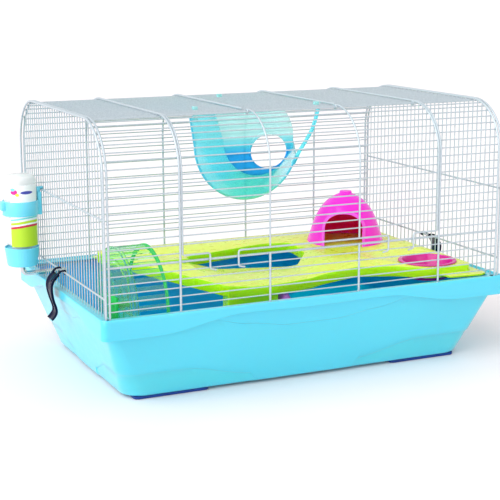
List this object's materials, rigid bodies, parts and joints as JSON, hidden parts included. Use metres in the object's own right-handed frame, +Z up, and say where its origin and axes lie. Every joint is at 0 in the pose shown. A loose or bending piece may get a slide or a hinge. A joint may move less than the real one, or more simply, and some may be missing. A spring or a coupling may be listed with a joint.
{
  "type": "hamster cage",
  "caption": "Wire hamster cage on a deep plastic tray, with a hinged front door, closing clips, deck, wheel, house, bowl, hanging nest and drinking bottle.",
  "frame": {"origin": "under the middle of the whole outline, on the floor", "axes": "+X to the right along the long side, +Y from the front door to the back, +Z up"},
  "size_m": [0.6658, 0.39, 0.3701],
  "materials": {
    "wire": "satin silver powder coat",
    "tray": "gloss, sky blue, slightly translucent",
    "foot": "matt dark blue",
    "deck": "gloss lime green",
    "pillar": "gloss magenta",
    "bowl": "gloss magenta",
    "house": "gloss bright pink",
    "wheel": "translucent green",
    "wheel_stand": "gloss green",
    "bottle": "clear, with a coloured band",
    "bottle_cap": "gloss cyan",
    "steel": "polished",
    "clip": "gloss navy",
    "nest": "translucent cyan"
  },
  "bodies": {
    "cage": {"front_lower_wires": "wire", "roof_wires": "wire", "back_wires": "wire", "front_left_wires": "wire", "front_right_wires": "wire", "door_hinge_wire": "wire", "door_sill_bar": "wire", "hoop_left_end": "wire", "hoop_left_of_door": "wire", "left_end_frame": "wire", "hoop_left_rear": "wire", "front_post_left": "wire", "hoop_right_end": "wire", "hoop_right_of_door": "wire", "right_end_frame": "wire", "hoop_right_rear": "wire", "front_post_right": "wire", "left_end_uprights": "wire", "left_end_bars": "wire", "right_end_uprights": "wire", "right_end_bars": "wire", "foot_front_left": "foot", "foot_front_right": "foot", "foot_back_left": "foot", "foot_back_right": "foot", "base_tray": "tray", "activity_deck": "deck", "deck_pillar": "pillar", "wheel_stand": "wheel_stand", "wheel_axle": "wheel_stand", "hanging_nest": "nest"},
    "front_door": {"door_side_left": "wire", "door_side_right": "wire", "door_rib_left": "wire", "door_rib_right": "wire", "door_wires": "wire", "door_latch_left_outer": "wire", "door_latch_right_outer": "wire", "door_latch_inner": "wire"},
    "left_clip": {"left_clip": "clip"},
    "right_clip": {"right_clip": "clip"},
    "wheel": {"exercise_wheel": "wheel"},
    "bottle_mount": {"bottle_holder": "bottle_cap", "bottle_cap": "bottle_cap", "drinking_tube": "steel"},
    "bottle": {"water_bottle": "bottle"},
    "ball": {"tube_ball": "steel"},
    "bowl": {"food_bowl": "bowl"},
    "house": {"hide_house": "house"}
  },
  "joints": [
    {"name": "door_hinge", "type": "hinge", "parent": "cage", "child": "front_door", "pos_m": [0.0202, -0.11681, 0.365], "axis": [-1, 0, 0], "range_deg": [0, 140]},
    {"name": "left_clip_hinge", "type": "hinge", "parent": "cage", "child": "left_clip", "pos_m": [-0.27285, 0, 0.1466], "axis": [0, 1, 0], "range_deg": [0, 100]},
    {"name": "right_clip_hinge", "type": "hinge", "parent": "cage", "child": "right_clip", "pos_m": [0.31325, 0, 0.1466], "axis": [0, -1, 0], "range_deg": [0, 100]},
    {"name": "wheel_spin", "type": "hinge", "parent": "cage", "child": "wheel", "pos_m": [-0.2038, -0.089, 0.113], "axis": [1, 0, 0], "continuous": true},
    {"name": "bottle_lift", "type": "slide", "parent": "cage", "child": "bottle_mount", "axis": [0, 0, 1], "range_m": [0, 0.012]},
    {"name": "bottle_turn", "type": "hinge", "parent": "bottle_mount", "child": "bottle", "pos_m": [-0.3033, 0.0896, 0.2], "axis": [0, 0, 1], "range_deg": [0, 270]},
    {"name": "ball_slide", "type": "slide", "parent": "bottle_mount", "child": "ball", "axis": [-1, 0, 0], "range_m": [0, 0.001]},
    {"name": "bowl_lift", "type": "slide", "parent": "cage", "child": "bowl", "axis": [0, 0, 1], "range_m": [0, 0.04]},
    {"name": "house_lift", "type": "slide", "parent": "cage", "child": "house", "axis": [0, 0, 1], "range_m": [0, 0.06]}
  ]
}
